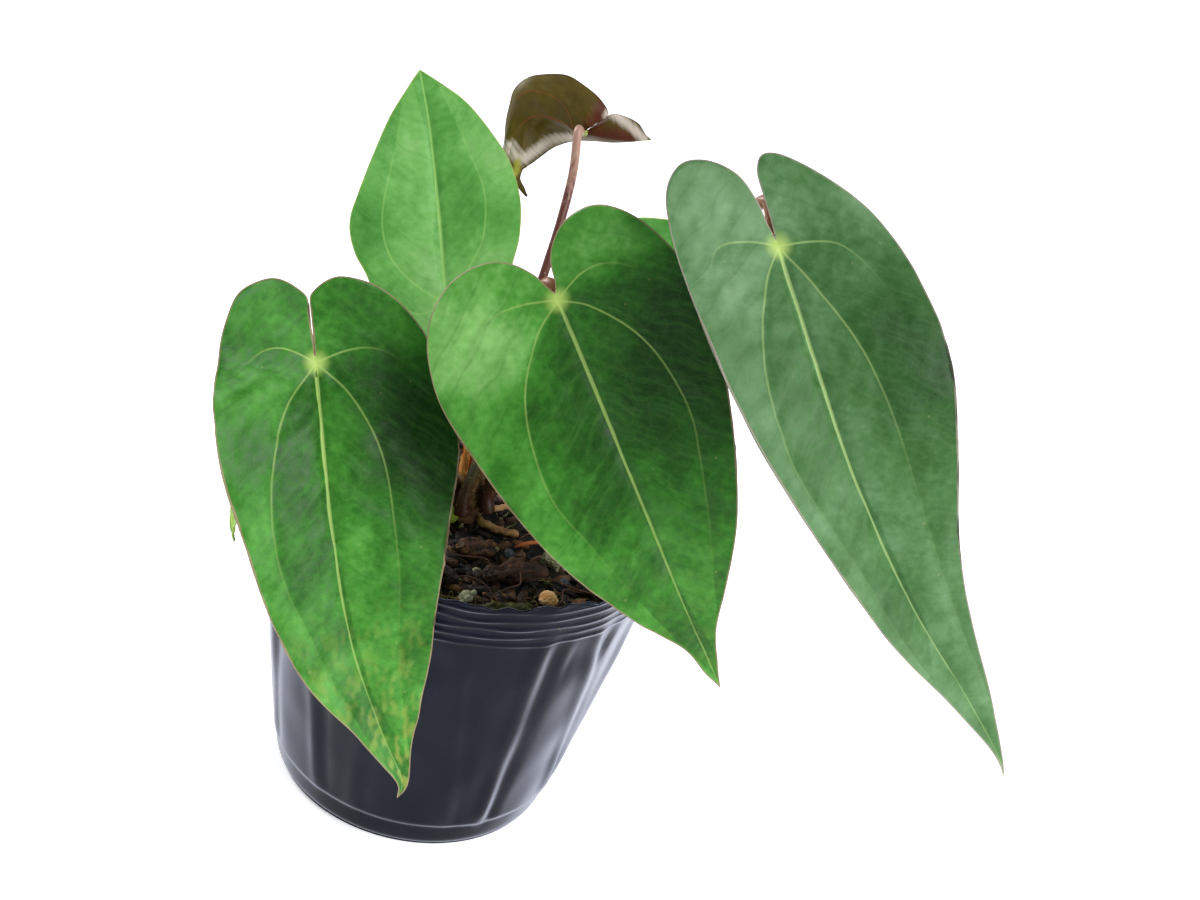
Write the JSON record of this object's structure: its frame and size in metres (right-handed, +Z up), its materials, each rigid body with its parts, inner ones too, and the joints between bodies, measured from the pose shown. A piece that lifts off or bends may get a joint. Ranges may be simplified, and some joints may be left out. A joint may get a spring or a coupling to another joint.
{
  "type": "potted anthurium hybrid",
  "caption": "Potted aroid plant: drooping heart-shaped leaves on thin stalks from a short crown, in a ribbed black film nursery pot of bark potting mix.",
  "frame": {"origin": "centre of the pot's base, on the surface that the pot stands on", "axes": "+Z up, -Y towards the side that the leaves lean to and face, +X to that viewer's right"},
  "size_m": [0.2223, 0.1463, 0.233],
  "materials": {
    "pot_film": "satin",
    "potting_mix": "matte",
    "crown": "matte",
    "stalk": "satin",
    "stalk_pink": "satin",
    "leaf_green": "satin",
    "leaf_blue_green": "satin",
    "leaf_young_green": "satin",
    "leaf_bronze": "gloss",
    "leaf_yellow": "satin",
    "old_scale": "matte",
    "root": "matte",
    "bark": "matte",
    "pumice": "matte",
    "stone": "matte",
    "feed_prill": "satin",
    "moss": "matte"
  },
  "bodies": {
    "root": {"bark_front_edge": "bark", "bark_front_left": "bark", "bark_front_long": "bark", "bark_front_red": "bark", "bark_side_1": "bark", "bark_side_10": "bark", "bark_side_12": "bark", "bark_side_2": "bark", "bark_side_4": "bark", "bark_side_5": "bark", "bark_side_6": "bark", "bark_side_8": "bark", "bark_side_9": "bark", "blade_centre": "leaf_green", "blade_front_left": "leaf_green", "blade_hidden_rear": "leaf_young_green", "blade_long_right": "leaf_blue_green", "blade_rear_left": "leaf_young_green", "blade_small_yellow": "leaf_yellow", "blade_young_bronze": "leaf_bronze", "crown_stem": "crown", "moss_rim": "moss", "moss_tuft": "moss", "nursery_pot": "pot_film", "old_scale_1": "old_scale", "old_scale_2": "old_scale", "old_scale_3": "old_scale", "old_scale_4": "old_scale", "potting_mix": "potting_mix", "prill_dark": "feed_prill", "prill_grey": "feed_prill", "pumice_green": "pumice", "pumice_side_11": "pumice", "pumice_side_3": "pumice", "pumice_side_7": "pumice", "root_1": "root", "root_2": "root", "root_3": "root", "root_4": "root", "root_5": "root", "root_6": "root", "stalk_centre": "stalk", "stalk_front_left": "stalk", "stalk_hidden_rear": "stalk", "stalk_long_right": "stalk", "stalk_rear_left": "stalk", "stalk_small_yellow": "stalk", "stalk_young_bronze": "stalk_pink", "stone_orange": "stone", "stone_pale": "pumice"}
  },
  "joints": []
}
